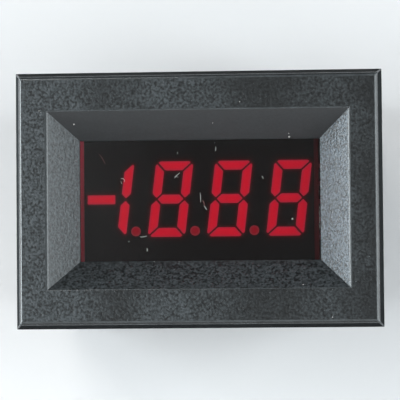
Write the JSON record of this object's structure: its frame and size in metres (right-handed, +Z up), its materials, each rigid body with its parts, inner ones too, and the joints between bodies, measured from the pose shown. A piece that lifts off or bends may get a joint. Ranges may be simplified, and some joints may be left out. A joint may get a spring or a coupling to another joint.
{
  "type": "digital panel meter",
  "caption": "Panel-mounted LED meter head: flanged black case with a sunk sloped frame, red window, seven-segment readout and sliding panel clips.",
  "frame": {"origin": "middle of the flange's rear face, where the meter lies on its panel", "axes": "+X to the right seen from the front, +Z up, +Y back through the panel; the display faces -Y"},
  "size_m": [0.05, 0.0246, 0.035],
  "materials": {
    "case_plastic": "charcoal moulded plastic with a fine sparkling grain",
    "red_filter": "deep red transparent acrylic, dusty and lightly scratched",
    "display_body": "grey moulded display body",
    "display_black": "flat black printed face",
    "lit_segment": "lit red diffusing resin",
    "dim_point": "dimly lit red diffusing resin",
    "board_laminate": "green coated glass laminate",
    "led_die": "bare diode dice",
    "tinned_metal": "tinned copper",
    "chip_plastic": "black moulding compound",
    "can_sleeve": "dark blue shrink sleeve",
    "film_resin": "orange-brown dipped resin",
    "ceramic_body": "tan ceramic",
    "trimmer_blue": "blue moulded plastic",
    "rotor_white": "white moulded plastic",
    "header_nylon": "natural nylon",
    "cover_plastic": "charcoal moulded plastic",
    "clip_plastic": "black nylon"
  },
  "bodies": {
    "meter": {"bezel_case": "case_plastic", "window_filter": "red_filter", "display_shell": "display_body", "display_face": "display_black", "minus_sign": "lit_segment", "one_digit": "lit_segment", "hundreds_digit": "lit_segment", "tens_digit": "lit_segment", "units_digit": "lit_segment", "decimal_points": "dim_point", "display_substrate": "board_laminate", "led_chips": "led_die", "display_pins": "tinned_metal", "main_board": "board_laminate", "converter_chip": "chip_plastic", "inverter_chip": "chip_plastic", "chip_leads": "tinned_metal", "electrolytic_capacitors": "can_sleeve", "film_capacitors": "film_resin", "capacitor_leads": "tinned_metal", "smd_resistors": "chip_plastic", "smd_capacitors": "ceramic_body", "smd_terminals": "tinned_metal", "trimmer_body": "trimmer_blue", "trimmer_pins": "tinned_metal", "header_shroud": "header_nylon", "header_pins": "tinned_metal", "rear_cover": "cover_plastic"},
    "rotor": {"trimmer_rotor": "rotor_white"},
    "clip_left": {"left_clip": "clip_plastic"},
    "clip_right": {"right_clip": "clip_plastic"}
  },
  "joints": [
    {"name": "trimmer_turn", "type": "hinge", "parent": "meter", "child": "rotor", "pos_m": [-0.0166, 0.01825, 0.001], "axis": [0, 1, 0], "range_deg": [-105, 105]},
    {"name": "left_clip_slide", "type": "slide", "parent": "meter", "child": "clip_left", "axis": [0, 1, 0], "range_m": [-0.0038, 0.008]},
    {"name": "right_clip_slide", "type": "slide", "parent": "meter", "child": "clip_right", "axis": [0, 1, 0], "range_m": [-0.0038, 0.008]}
  ]
}
